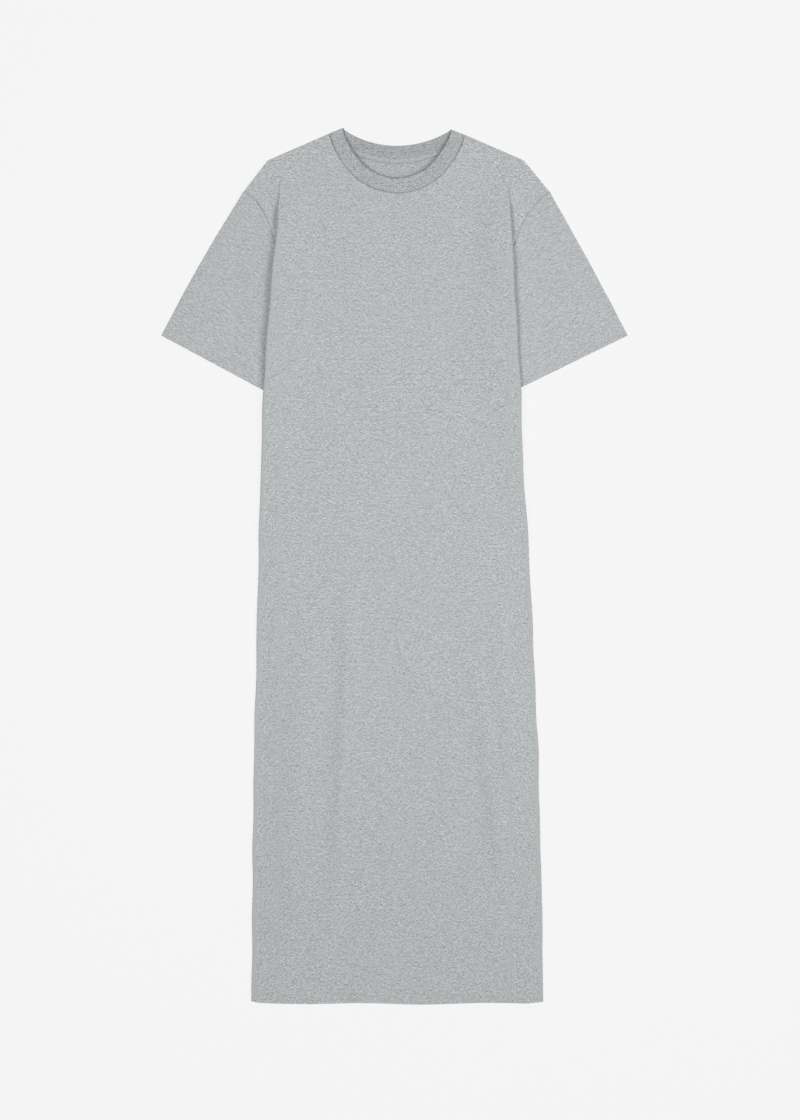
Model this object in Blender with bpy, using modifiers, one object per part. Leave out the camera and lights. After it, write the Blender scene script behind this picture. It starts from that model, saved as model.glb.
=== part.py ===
"""T-shirt dress in heather grey jersey, laid flat on its back.

The neck is towards +Y and the front faces +Z. The wide sleeves are drawn down, so each
side of the body is tucked: seen in section, the front turns under at the visible edge,
runs back inwards, and turns out again to the armhole seam. The back does the same the
other way up, and the sleeve lies between the two. The tuck starts below the shoulder,
is deepest at the underarm and runs out at the waist, where front and back meet at the
side seam.

All sizes are in millimetres. LEFT and RIGHT are the sides at -X and +X.
"""

import math
from collections import namedtuple

import bmesh
import bpy
import numpy as np

MM = 0.001
LEFT, RIGHT = -1, 1
FRONT, BACK = 1, -1

# Cloth
WALL = 1.0
SEAM_GAP = 0.3
LAYER = WALL + SEAM_GAP
GROUND = WALL / 2
TURN_LENGTH = math.pi * LAYER / 2

# Mesh
ROW_SPACING = 75.0
YOKE_ROWS = 10
TURN_PARTS = (0, 1 / 3, 2 / 3, 1)
SLEEVE_RINGS = 6
RIM_ANGLES = (45, 90)
FOLD_ANGLES = (60, 120)
OUTER_COLUMNS = {FRONT: 4, BACK: 2}

# One row for each section of the body, from the hem up. left and right are the visible
# edges' distances from the middle, tuck is how far the side runs back in, turn is how far
# the cloth has turned over at the edge, in degrees, roll is the length of the front's cloth
# in that turn, and lift is 1 where a sleeve's two layers lie in the tuck.
Section = namedtuple("Section", "height left right tuck turn roll lift")
SECTIONS = (
    Section(-657.5, 214.3, 223.6, 0.3, 90, 2.0, 0),
    Section(-350.0, 211.6, 217.3, 0.3, 90, 2.0, 0),
    Section(-50.0, 205.3, 205.1, 0.3, 90, 2.0, 0),
    Section(20.0, 204.0, 201.3, 0.3, 90, 2.0, 0),
    Section(40.0, 203.4, 200.2, 0.3, 135, 2.4, 0),
    Section(60.0, 202.7, 199.0, 0.3, 180, 2.8, 0),
    Section(190.0, 199.0, 191.2, 22.5, 180, 5.0, 0),
    Section(245.0, 197.3, 189.8, 31.8, 180, 6.0, 1),
    Section(358.0, 190.5, 184.0, 51.0, 180, 6.3, 1),
    Section(450.0, 182.3, 178.5, 23.1, 180, 6.3, 1),
    Section(525.0, 175.0, 174.0, 0.3, 180, 4.8, 1),
    Section(550.0, 173.2, 172.7, 0.3, 100, 3.5, 1),
    Section(575.0, 171.8, 171.8, 0.3, 40, 2.5, 1),
    Section(600.0, 171.0, 171.0, 0.3, 0, 2.0, 1),
)
UNDERARM = 358.0
TOP = 640.0

# The armhole seam as it lies, from the underarm up to the shoulder line.
Seam = namedtuple("Seam", "height left right")
ARMHOLE = (
    Seam(358.0, 140.3, 134.0),
    Seam(400.0, 153.0, 151.0),
    Seam(450.0, 168.0, 167.5),
    Seam(490.0, 180.5, 182.0),
    Seam(514.0, 189.0, 192.0),
    Seam(532.0, 198.0, 203.5),
    Seam(549.0, 210.0, 218.0),
    Seam(559.5, 224.0, 230.0),
)

# Corners of the shoulder and sleeve outline, as distance from the middle and height.
Corner = namedtuple("Corner", "left right")
SHOULDER_NECK = Corner((96.8, 648.2), (104.2, 646.6))
SHOULDER_POINT = Corner((190.6, 607.6), (194.4, 607.6))
SLEEVE_TOP = Corner((225.8, 560.8), (231.6, 561.4))
SLEEVE_TIP = Corner((349.4, 345.2), (349.4, 345.2))
SLEEVE_HIDDEN = Corner((180.8, 254.5), (173.3, 259.0))
OVERARM_BULGE = Corner(3.0, 1.5)

# How far the front stands off the back
EDGE_LOFT = 1.6
EDGE_LOFT_WIDTH = 40.0
NECK_LOFT = 1.9
NECK_LOFT_WIDTH = 38.0
BODY_LOFT = 1.6
BODY_LOFT_WIDTH = 50.0
TUCK_CLEARANCE = 20.0
TUCK_SLOPE = 45.0
ARM_FLAT = 20.0
ARM_FALL = 40.0
RIM_GAP = 0.7
RIM_RADIUS = (EDGE_LOFT + LAYER - RIM_GAP) / 2

# One row for each long soft trough of the front, from its upper to its lower end.
Trough = namedtuple("Trough", "x height end_x end_height bow width depth")
TROUGHS = (
    Trough(-72, 15, -106, -500, 3, 16, 0.95),
    Trough(-120, 430, -121, 10, -6, 14, 0.45),
    Trough(-150, -230, -182, -600, -3, 22, 0.8),
    Trough(120, 330, 129, 150, 0, 14, 0.4),
    Trough(102, -110, 154, -500, 9, 16, 0.6),
    Trough(140, -20, 176, -470, -5, 16, 0.55),
)
TROUGH_FADE = 0.25

# Neckline. Angles are from straight down, about the neck's own centre.
NECK_X = 3.7
NECK_HEIGHT = 657.0
NECK_STEPS = 5
SEAM_RADIUS, SEAM_FLARE, SEAM_ANGLE = 95.0, 6.0, 83.9
EDGE_RADIUS, EDGE_FLARE, EDGE_ANGLE = 71.5, 8.0, 89.3
FLARE_START = 50.0
BACK_SEAM_HEIGHT = 608.5
BACK_EDGE_HEIGHT = 631.0

# Neckband, which is double rib, and the tape over the back neck seam
RIB_THICKNESS = 2.0
RIB_FRONT_HEIGHT = 3.7
RIB_BACK_HEIGHT = RIB_THICKNESS / 2
RIB_ROUNDING = 0.8
TAPE_WIDTH = 8.0
TAPE_REACH = 0.9

# Slot: base colour in linear light and roughness
FINISHES = {
    "jersey": ((0.479, 0.503, 0.509), 0.92),
    "rib": ((0.402, 0.423, 0.429), 0.94),
    "tape": ((0.456, 0.479, 0.487), 0.92),
}

Cut = namedtuple("Cut", "crease tuck turn roll_radius radius lift")


def smooth(value):
    """0 to 1 with level ends."""
    t = min(max(value, 0.0), 1.0)
    return t * t * (3 - 2 * t)


def on_side(pair, side):
    return pair.left if side == LEFT else pair.right


def column(table, name):
    return [getattr(row, name) for row in table]


def section(side, height, face):
    """A panel's section on one side: where its crease starts, and how it turns and tucks."""
    heights = column(SECTIONS, "height")
    names = ("left" if side == LEFT else "right", "tuck", "turn", "roll", "lift")
    edge, tuck, turn, roll, lift = (np.interp(height, heights, column(SECTIONS, name)) for name in names)
    turn = max(math.radians(turn), 1e-3)
    radius = TURN_LENGTH / turn
    roll_radius = roll / turn if face == FRONT else radius
    crease = edge - WALL / 2 - roll_radius * math.sin(min(turn, math.pi / 2))
    return Cut(crease, tuck, turn, roll_radius, radius, lift)


def armhole_reach(side, height):
    return np.interp(height, column(ARMHOLE, "height"), column(ARMHOLE, "left" if side == LEFT else "right"))


def pleat_step(cut):
    """How far the two turns and the tuck between them carry the cloth down, or up on the back."""
    turns = (cut.roll_radius + cut.radius) * (1 - math.cos(cut.turn))
    return turns + cut.tuck * math.sin(cut.turn)


def pleat_point(cut, zone, part, reach):
    """Distance from the middle, and drop from the body's own layer, along the pleated section."""
    if zone == "core":
        return cut.crease * part, 0.0
    if zone == "turn":
        angle = cut.turn * part
        return cut.crease + cut.roll_radius * math.sin(angle), cut.roll_radius * (1 - math.cos(angle))
    x, drop = pleat_point(cut, "turn", 1, reach)
    if zone == "tuck":
        length = cut.tuck * part
        return x + length * math.cos(cut.turn), drop + length * math.sin(cut.turn)
    x += cut.tuck * math.cos(cut.turn)
    drop += cut.tuck * math.sin(cut.turn)
    if zone == "return":
        angle = cut.turn * (1 - part)
        x += cut.radius * (math.sin(cut.turn) - math.sin(angle))
        return x, drop + cut.radius * (math.cos(angle) - math.cos(cut.turn))
    x += cut.radius * math.sin(cut.turn)
    return x + (reach - x) * part, pleat_step(cut)


def stack_rise(side, height):
    """How far the front's own layer is lifted at the crease by what lies in the tuck."""
    front, back = section(side, height, FRONT), section(side, height, BACK)
    if height >= UNDERARM:
        return pleat_step(front) + pleat_step(back)
    drops = [pleat_point(cut, "tuck", 1, 0)[1] for cut in (front, back)]
    seam = WALL * abs(math.cos(front.turn)) + SEAM_GAP
    return sum(drops) + seam - LAYER + front.lift * 2 * LAYER


def arm_rise(side, x, height):
    """How far the sleeve and what joins it are lifted by the tuck: they sink to the ground outwards."""
    cut = section(side, height, BACK)
    return pleat_step(cut) * (1 - smooth((x - cut.crease - ARM_FLAT) / ARM_FALL))


def outline(side):
    """Neck end of the shoulder, shoulder point, top of the sleeve and its tip, as the cloth's middle runs."""
    points = [np.array(on_side(pair, side)) for pair in (SHOULDER_NECK, SHOULDER_POINT, SLEEVE_TOP, SLEEVE_TIP)]
    directions = [(b - a) / np.linalg.norm(b - a) for a, b in zip(points, points[1:])]
    directions = [directions[0], *(a + b for a, b in zip(directions, directions[1:])), directions[-1]]
    normals = [np.array((-d[1], d[0])) / np.linalg.norm(d) for d in directions]
    inset = RIM_RADIUS + WALL / 2
    return [point - inset * normal for point, normal in zip(points, normals)], normals


def edge_loft(side, x, height):
    """Extra height of the front over the rounded edge of the shoulder and the sleeve."""
    points, _ = outline(side)
    place = np.array((x, height))
    distances = []
    for a, b in zip(points, points[1:]):
        along = np.clip(np.dot(place - a, b - a) / np.dot(b - a, b - a), 0, 1)
        distances.append(np.linalg.norm(place - a - along * (b - a)))
    return EDGE_LOFT * smooth(1 - min(distances) / EDGE_LOFT_WIDTH)


def flared(radius, flare, angle):
    return radius + flare * np.clip((abs(angle) - FLARE_START) / (SEAM_ANGLE - FLARE_START), 0, 1) ** 2


def neck_front(t, radius, flare, angle):
    """A point of the front neckline, for t from -1 at the left shoulder to 1 at the right."""
    r = flared(radius, flare, angle * t)
    return np.array((NECK_X + r * math.sin(math.radians(angle * t)), NECK_HEIGHT - r * math.cos(math.radians(angle * t))))


def neck_back(t, radius, flare, angle, height):
    """The back neckline's point above or below neck_front(t), on an arc with its lowest point at height."""
    x, _ = neck_front(t, radius, flare, angle)
    end_x, end_height = neck_front(1, radius, flare, angle)
    half, rise = end_x - NECK_X, end_height - height
    arc = (half**2 + rise**2) / (2 * rise)
    return np.array((x, height + arc - math.sqrt(arc**2 - (x - NECK_X) ** 2)))


def seam_point(t, face):
    if face == FRONT:
        return neck_front(t, SEAM_RADIUS, SEAM_FLARE, SEAM_ANGLE)
    return neck_back(t, SEAM_RADIUS, SEAM_FLARE, SEAM_ANGLE, BACK_SEAM_HEIGHT)


def edge_point(t, face):
    if face == FRONT:
        return neck_front(t, EDGE_RADIUS, EDGE_FLARE, EDGE_ANGLE)
    return neck_back(t, EDGE_RADIUS, EDGE_FLARE, EDGE_ANGLE, BACK_EDGE_HEIGHT)


def neck_loft(x, height):
    away = math.hypot(x - NECK_X, height - NECK_HEIGHT) - SEAM_RADIUS - SEAM_FLARE / 2
    return NECK_LOFT * smooth(1 - away / NECK_LOFT_WIDTH)


def body_loft(side, x, height, inward):
    """Loose height of the front between its troughs, none at the edges."""
    points, _ = outline(side)
    below = points[0][1] - (abs(x) - points[0][0]) * 0.44 - height
    loft = BODY_LOFT * smooth((inward - TUCK_CLEARANCE) / BODY_LOFT_WIDTH) * smooth((below - 60) / 60)
    for trough in TROUGHS:
        t = (height - trough.height) / (trough.end_height - trough.height)
        if 0 < t < 1:
            middle = trough.x + t * (trough.end_x - trough.x) + trough.bow * math.sin(math.pi * t)
            fade = smooth(t / TROUGH_FADE) * smooth((1 - t) / TROUGH_FADE)
            loft *= 1 - trough.depth * fade * math.exp(-(((x - middle) / trough.width) ** 2))
    return loft


def panel_point(station, height, face):
    """A point on the middle of the front's or the back's cloth."""
    side, zone, part = station
    cut = section(side, height, face)
    x, drop = pleat_point(cut, zone, part, armhole_reach(side, height))
    place = (side * x, height)
    if zone == "under":
        z = GROUND + arm_rise(side, x, height)
        return (*place, z + LAYER + edge_loft(side, x, height)) if face == FRONT else (*place, z)
    if face == BACK:
        return (*place, GROUND + drop)
    inward = max(cut.crease - x, 0) if zone == "core" else 0
    rise = stack_rise(side, height) * smooth((cut.tuck + TUCK_CLEARANCE + TUCK_SLOPE - inward) / TUCK_SLOPE)
    rise += edge_loft(side, x, height)
    if zone == "core":
        rise = max(rise, body_loft(side, side * x, height, inward), neck_loft(side * x, height))
    return (*place, GROUND + LAYER + rise - drop)


def core_stations(face):
    """Columns from side to side: one at each step of the neckline, then evenly out to the crease."""
    stations = []
    for k in range(-NECK_STEPS, NECK_STEPS + 1):
        x = seam_point(k / NECK_STEPS, FRONT)[0]
        side = LEFT if x < 0 else RIGHT
        stations.append((side, "core", abs(x) / section(side, TOP, face).crease))
    parts = {side: stations[-1 if side == RIGHT else 0][2] for side in (LEFT, RIGHT)}
    for n in range(1, OUTER_COLUMNS[face]):
        for side in (LEFT, RIGHT):
            station = (side, "core", parts[side] + (1 - parts[side]) * n / OUTER_COLUMNS[face])
            stations.insert(len(stations) if side == RIGHT else 0, station)
    return stations


def pleat_stations(side, face):
    """Columns from the crease out to the armhole seam. One runs up to the shoulder point."""
    top = section(side, TOP, face)
    start, _ = pleat_point(top, "under", 0, 0)
    points, _ = outline(side)
    corner = (points[1][0] - start) / (armhole_reach(side, TOP) - start)
    stations = [(side, "turn", part) for part in TURN_PARTS]
    stations += [(side, "tuck", part) for part in (0.5, 1)]
    stations += [(side, "return", part) for part in TURN_PARTS[1:]]
    stations += [(side, "under", part) for part in (corner, (1 + corner) / 2, 1)]
    return stations


def panel_stations(face):
    return pleat_stations(LEFT, face)[::-1] + core_stations(face) + pleat_stations(RIGHT, face)


def top_height(station, face):
    """Height of the neckline or the shoulder line at the top of a column."""
    side, zone, part = station
    x = side * pleat_point(section(side, TOP, face), zone, part, armhole_reach(side, TOP))[0]
    for t in (k / NECK_STEPS for k in range(-NECK_STEPS, NECK_STEPS + 1)):
        if abs(seam_point(t, FRONT)[0] - x) < 0.01:
            return seam_point(t, face)[1]
    points, _ = outline(side)
    return np.interp(abs(x), [point[0] for point in points], [point[1] for point in points])


def body_heights():
    """Rows of the panels from the hem to the underarm, with one at each section."""
    heights = [height for height in column(SECTIONS, "height") if height <= UNDERARM]
    rows = [heights[0]]
    for low, high in zip(heights, heights[1:]):
        steps = math.ceil((high - low) / ROW_SPACING)
        rows += [low + (high - low) * n / steps for n in range(1, steps + 1)]
    return rows


def add_rows(mesh, rows, ring=False):
    """Quads between neighbouring rows of points. None leaves a gap, and ring joins each row's ends."""
    rows = [[point and mesh.verts.new([MM * value for value in point]) for point in row] for row in rows]
    for lower, upper in zip(rows, rows[1:]):
        if ring:
            lower, upper = lower + lower[:1], upper + upper[:1]
        for corners in zip(lower, lower[1:], upper[1:], upper):
            if None not in corners:
                mesh.faces.new(corners)


def rim_rows(top_row, stations, face):
    """Quarter-round edge that the shoulder turns over, down on the front and up on the back."""
    rows = []
    for angle in map(math.radians, RIM_ANGLES):
        row = []
        for (x, height, z), (side, zone, part) in zip(top_row, stations):
            points, normals = outline(side)
            if zone == "core" and abs(x) < points[0][0] - 1:
                row.append(None)
                continue
            normal = normals[1] if abs(abs(x) - points[1][0]) < 0.01 else normals[0 if abs(x) < points[1][0] else 2]
            out = RIM_RADIUS * math.sin(angle)
            z -= face * RIM_RADIUS * (1 - math.cos(angle))
            row.append((x + side * out * normal[0], height + out * normal[1], z))
        rows.append(row)
    return rows


def make_panel(face):
    """The front or the back, cut in one from the hem to the shoulder."""
    stations = panel_stations(face)
    below = ("core", "turn", "tuck")
    rows = []
    for height in body_heights()[:-1]:
        rows.append([panel_point(s, height, face) if s[1] in below else None for s in stations])
    for n in range(YOKE_ROWS + 1):
        heights = [UNDERARM + (top_height(s, face) - UNDERARM) * n / YOKE_ROWS for s in stations]
        rows.append([panel_point(s, height, face) for s, height in zip(stations, heights)])
    mesh = bmesh.new()
    add_rows(mesh, rows + rim_rows(rows[-1], stations, face))
    return mesh


def sleeve_plan(side, u, w):
    """A point of the flat sleeve, for u from the overarm fold to the underarm and w from armhole to hem."""
    points, normals = outline(side)
    top, tip = points[2], points[3]
    hidden = np.array(on_side(SLEEVE_HIDDEN, side))

    def cap(u):
        height = top_height((side, "under", 1), FRONT) * (1 - u) + UNDERARM * u
        below = height - 1
        run = np.array((armhole_reach(side, height) - armhole_reach(side, below), 1.0))
        away = np.array((run[1], -run[0])) / np.linalg.norm(run)
        return np.array((armhole_reach(side, height), height)) + SEAM_GAP * away

    start, end = cap(0), cap(1)
    overarm = start + w * (tip - start) + on_side(OVERARM_BULGE, side) * math.sin(math.pi * w) * normals[3]
    underarm = end + w * (hidden - end)
    blend = (1 - w) * cap(u) + w * (tip + u * (hidden - tip)) + (1 - u) * overarm + u * underarm
    corners = (1 - u) * (1 - w) * start + (1 - u) * w * tip + u * (1 - w) * end + u * w * hidden
    return blend - corners


def sleeve_ring(side, w):
    """One closed section round the sleeve: front, underarm fold, back, overarm fold."""
    us = [n / YOKE_ROWS for n in range(YOKE_ROWS + 1)]
    plan = [sleeve_plan(side, u, w) for u in us]
    low = [GROUND + arm_rise(side, x, height) for x, height in plan]
    high = [z + LAYER + edge_loft(side, x, height) for z, (x, height) in zip(low, plan)]

    def fold(end, outward, from_z, to_z):
        outward = outward / np.linalg.norm(outward)
        radius = (from_z - to_z) / 2
        for angle in map(math.radians, FOLD_ANGLES):
            x, height = plan[end] + abs(radius) * math.sin(angle) * outward
            yield (side * x, height, (from_z + to_z) / 2 + radius * math.cos(angle))

    _, normals = outline(side)
    front = [(side * x, height, z) for (x, height), z in zip(plan, high)]
    back = [(side * x, height, z) for (x, height), z in zip(plan, low)]
    underarm_fold = fold(-1, plan[-1] - plan[-2], high[-1], low[-1])
    overarm_fold = fold(0, (1 - w) * normals[2] + w * normals[3], low[0], high[0])
    return [*front, *underarm_fold, *back[::-1], *overarm_fold]


def make_sleeve(side):
    mesh = bmesh.new()
    add_rows(mesh, [sleeve_ring(side, n / SLEEVE_RINGS) for n in range(SLEEVE_RINGS + 1)], ring=True)
    return mesh


def band_section(outer, inner, middle, normal):
    """The doubled band's section: square at the seam and rounded at its folded edge."""
    across = np.array((*(inner - outer), 0.0))
    width = np.linalg.norm(across)
    across /= width
    half = RIB_THICKNESS / 2
    start = np.array((*outer, 0.0)) + middle + SEAM_GAP * across
    end = width - SEAM_GAP
    profile = (
        (0, half),
        (end / 2, half),
        (end - RIB_ROUNDING, half),
        (end, half - RIB_ROUNDING),
        (end, RIB_ROUNDING - half),
        (end - RIB_ROUNDING, -half),
        (end / 2, -half),
        (0, -half),
    )
    return [tuple(start + along * across + up * normal) for along, up in profile]


def make_neckband():
    """The band's front half lies over its back half, and it turns over at both shoulders."""
    up = np.array((0.0, 0.0, 1.0))
    ts = [k / NECK_STEPS for k in range(-NECK_STEPS, NECK_STEPS + 1)]
    radius = (RIB_FRONT_HEIGHT - RIB_BACK_HEIGHT) / 2
    middle = (RIB_FRONT_HEIGHT + RIB_BACK_HEIGHT) / 2 * up

    def shoulder(t):
        outer, inner = seam_point(t, FRONT), edge_point(t, FRONT)
        run = (inner - outer) / np.linalg.norm(inner - outer)
        outward = -t * np.array((-run[1], run[0], 0.0))
        for angle in map(math.radians, FOLD_ANGLES if t > 0 else FOLD_ANGLES[::-1]):
            normal = math.cos(angle) * up + math.sin(angle) * outward
            yield band_section(outer, inner, middle + radius * normal, normal)

    rings = [band_section(seam_point(t, FRONT), edge_point(t, FRONT), RIB_FRONT_HEIGHT * up, up) for t in ts]
    rings += shoulder(1)
    rings += [band_section(seam_point(t, BACK), edge_point(t, BACK), RIB_BACK_HEIGHT * up, -up) for t in ts[::-1]]
    rings += shoulder(-1)
    mesh = bmesh.new()
    add_rows(mesh, rings + rings[:1], ring=True)
    bmesh.ops.remove_doubles(mesh, verts=mesh.verts, dist=1e-6)
    return mesh


def make_tape():
    """The tape lies on the inside of the back, just below the neckband's seam."""
    rows = []
    for t in np.linspace(-TAPE_REACH, TAPE_REACH, 2 * NECK_STEPS + 1):
        x, height = seam_point(t, BACK)
        ahead, behind = seam_point(t + 0.01, BACK), seam_point(t - 0.01, BACK)
        run = (ahead - behind) / np.linalg.norm(ahead - behind)
        away = np.array((run[1], -run[0]))
        near, far = (np.array((x, height)) + d * away for d in (2 * SEAM_GAP, 2 * SEAM_GAP + TAPE_WIDTH))
        rows.append([(*near, GROUND + LAYER), (*far, GROUND + LAYER)])
    mesh = bmesh.new()
    add_rows(mesh, rows)
    return mesh


def material(slot):
    colour, roughness = FINISHES[slot]
    made = bpy.data.materials.new(slot)
    made.use_nodes = True
    shader = made.node_tree.nodes["Principled BSDF"]
    shader.inputs["Base Color"].default_value = (*colour, 1)
    shader.inputs["Roughness"].default_value = roughness
    return made


def add_piece(name, mesh, finish, collection, wall=None):
    """A named object. A wall makes the open surface a shell, half of it on each side."""
    bmesh.ops.recalc_face_normals(mesh, faces=mesh.faces)
    data = bpy.data.meshes.new(name)
    mesh.to_mesh(data)
    mesh.free()
    data.shade_smooth()
    data.set_sharp_from_angle(angle=math.radians(50))
    data.materials.append(finish)
    piece = bpy.data.objects.new(name, data)
    collection.objects.link(piece)
    if wall:
        shell = piece.modifiers.new("Cloth wall", "SOLIDIFY")
        shell.thickness = MM * wall
        shell.offset = 0
        shell.use_even_offset = True
        shell.use_quality_normals = True
    return piece


def main():
    for old in list(bpy.data.objects):
        bpy.data.objects.remove(old)
    dress = bpy.data.collections.new("t_shirt_dress")
    bpy.context.scene.collection.children.link(dress)
    jersey, rib, tape = (material(slot) for slot in FINISHES)
    add_piece("front_panel", make_panel(FRONT), jersey, dress, WALL)
    add_piece("back_panel", make_panel(BACK), jersey, dress, WALL)
    add_piece("sleeve_left", make_sleeve(LEFT), jersey, dress, WALL)
    add_piece("sleeve_right", make_sleeve(RIGHT), jersey, dress, WALL)
    add_piece("neck_rib", make_neckband(), rib, dress)
    add_piece("neck_tape", make_tape(), tape, dress, WALL)


main()
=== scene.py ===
import math

import bpy
import numpy as np
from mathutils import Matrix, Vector


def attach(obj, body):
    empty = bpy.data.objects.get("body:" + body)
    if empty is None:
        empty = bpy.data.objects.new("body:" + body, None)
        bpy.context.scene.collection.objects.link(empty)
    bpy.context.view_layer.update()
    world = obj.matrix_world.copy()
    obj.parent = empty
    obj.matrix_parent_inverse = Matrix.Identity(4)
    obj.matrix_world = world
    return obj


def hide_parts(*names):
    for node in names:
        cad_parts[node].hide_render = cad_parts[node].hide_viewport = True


# T-shirt dress in heather grey jersey, laid flat. The neck is towards +Y, the front faces +Z,
# and left and right are the sides at -X and +X. Sizes are in millimetres until a mesh is made.

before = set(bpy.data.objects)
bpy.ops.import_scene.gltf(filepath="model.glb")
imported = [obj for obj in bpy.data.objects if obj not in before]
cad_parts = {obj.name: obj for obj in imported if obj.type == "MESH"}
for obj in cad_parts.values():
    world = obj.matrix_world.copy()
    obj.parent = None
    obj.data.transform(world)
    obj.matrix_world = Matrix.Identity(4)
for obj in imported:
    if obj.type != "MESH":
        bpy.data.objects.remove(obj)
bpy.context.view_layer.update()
print("frame loaded:", ", ".join(sorted(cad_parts)))

mm = 0.001
left, right = -1, 1
front, back = 1, -1

# camera, lights and floor

cameraView = {
    "centre": (0.00825, 0.00848),  # metres, the point of the floor it looks straight down on
    "height": 4.0,
    "framedLength": 1.68,  # metres of floor along the frame's long side
}

studio = {
    "skyStrength": 0.185,
    "leftLamp": {"elevation": 57, "azimuth": 177, "softness": 24, "strength": 1.26},
    "rightLamp": {"elevation": 46, "azimuth": 3, "softness": 34, "strength": 1.47},
    "overhead": {"place": (0.22, 0.2, 3.5), "size": 0.9, "power": 78, "cone": 36},
    "floorGlow": 0.898,  # share of the floor's paleness that it gives off itself
    "glowStrength": 0.919,
    "floorColour": 0.9,
}


def makeCamera():
    lens = bpy.data.cameras.new("overheadCamera")
    lens.sensor_width = 36
    lens.lens = 36 * cameraView["height"] / cameraView["framedLength"]
    lens.clip_start = 0.1
    lens.clip_end = 50
    camera = bpy.data.objects.new("overheadCamera", lens)
    camera.location = (*cameraView["centre"], cameraView["height"])
    bpy.context.scene.collection.objects.link(camera)
    bpy.context.scene.camera = camera


def makeSun(name, elevation, azimuth, softness, strength):
    lamp = bpy.data.lights.new(name, "SUN")
    lamp.energy = strength
    lamp.angle = math.radians(softness)
    sun = bpy.data.objects.new(name, lamp)
    up, around = math.radians(elevation), math.radians(azimuth)
    towards = Vector((math.cos(up) * math.cos(around), math.cos(up) * math.sin(around), math.sin(up)))
    sun.rotation_euler = towards.to_track_quat("Z", "Y").to_euler()
    bpy.context.scene.collection.objects.link(sun)


def makeStudio():
    scene = bpy.context.scene
    scene.view_settings.view_transform = "Standard"
    world = bpy.data.worlds.new("studioSky")
    world.use_nodes = True
    sky = world.node_tree.nodes["Background"]
    sky.inputs["Color"].default_value = (1, 1, 1, 1)
    sky.inputs["Strength"].default_value = studio["skyStrength"]
    scene.world = world
    for name in ("leftLamp", "rightLamp"):
        makeSun(name, **studio[name])
    overhead = bpy.data.lights.new("overheadLamp", "SPOT")
    overhead.shadow_soft_size = studio["overhead"]["size"] / 2
    overhead.energy = studio["overhead"]["power"]
    overhead.spot_size = math.radians(studio["overhead"]["cone"])
    overhead.spot_blend = 1.0
    lamp = bpy.data.objects.new("overheadLamp", overhead)
    lamp.location = studio["overhead"]["place"]
    scene.collection.objects.link(lamp)

    floorSize = 8.0
    mesh = bpy.data.meshes.new("studioFloor")
    corners = [(x * floorSize, y * floorSize, -0.0002) for x, y in ((-1, -1), (1, -1), (1, 1), (-1, 1))]
    mesh.from_pydata(corners, [], [(0, 1, 2, 3)])
    floor = bpy.data.objects.new("studioFloor", mesh)
    scene.collection.objects.link(floor)
    paint = bpy.data.materials.new("paleFloor")
    paint.use_nodes = True
    shader = paint.node_tree.nodes["Principled BSDF"]
    pale = studio["floorColour"]
    shader.inputs["Base Color"].default_value = (pale * (1 - studio["floorGlow"]),) * 3 + (1,)
    shader.inputs["Roughness"].default_value = 0.9
    shader.inputs["Specular IOR Level"].default_value = 0.0
    shader.inputs["Emission Color"].default_value = (1, 1, 1, 1)
    shader.inputs["Emission Strength"].default_value = studio["glowStrength"] * studio["floorGlow"]
    mesh.materials.append(paint)


makeCamera()
makeStudio()
print("camera, lights and floor made")

# cloth sizes shared by every piece

cloth = {
    "thickness": 0.7,
    "layerStep": 1.3,  # from one loose layer's middle to the next
    "seamGap": 0.3,
    "pressedStep": 0.78,  # between the layers of a turned hem
    "neckDip": 0.55,  # how far the sewn edges roll down into their seams
    "backNeckDip": 0.12,
    "armholeDip": 0.65,
    "seamRoll": 1.3,
    "seamBulk": 6.0,  # and the allowance beneath lifts the cloth beside them
    "turnSteps": 8,
}
ground = cloth["thickness"] / 2
layerStep = cloth["layerStep"]
turnLength = math.pi * layerStep / 2

# Each side of the body from the hem up: the visible edges' distances from the middle, how far the
# side is tucked back in, the turn at the edge in degrees, the length of the front's soft roll there,
# and 1 where a sleeve lies in the tuck.
sideColumns = ("height", "left", "right", "tuck", "turn", "roll", "lift")
sideRows = (
    (-657.5, 214.3, 223.6, 0.3, 90, 2.0, 0),
    (-350.0, 211.6, 217.3, 0.3, 90, 2.0, 0),
    (-50.0, 205.3, 205.1, 0.3, 90, 2.0, 0),
    (20.0, 204.0, 201.3, 0.3, 90, 2.0, 0),
    (40.0, 203.4, 200.2, 0.3, 135, 2.4, 0),
    (60.0, 202.7, 199.0, 0.3, 180, 3.2, 0),
    (190.0, 199.0, 191.2, 22.5, 180, 4.4, 0),
    (245.0, 197.3, 189.8, 31.8, 180, 4.9, 1),
    (358.0, 190.5, 184.0, 51.0, 180, 6.2, 1),
    (450.0, 182.3, 178.5, 23.1, 180, 6.7, 1),
    (525.0, 175.0, 174.0, 0.3, 180, 5.4, 1),
    (550.0, 173.2, 172.7, 0.3, 100, 3.5, 1),
    (575.0, 171.8, 171.8, 0.3, 40, 2.5, 1),
    (600.0, 171.0, 171.0, 0.3, 0, 2.0, 1),
)
armholeColumns = ("height", "left", "right")
armholeRows = (
    (358.0, 140.3, 134.0),
    (400.0, 153.0, 151.0),
    (450.0, 168.0, 167.5),
    (490.0, 180.5, 182.0),
    (514.0, 189.0, 192.0),
    (532.0, 198.0, 203.5),
    (549.0, 210.0, 218.0),
    (559.5, 224.0, 230.0),
)

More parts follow.
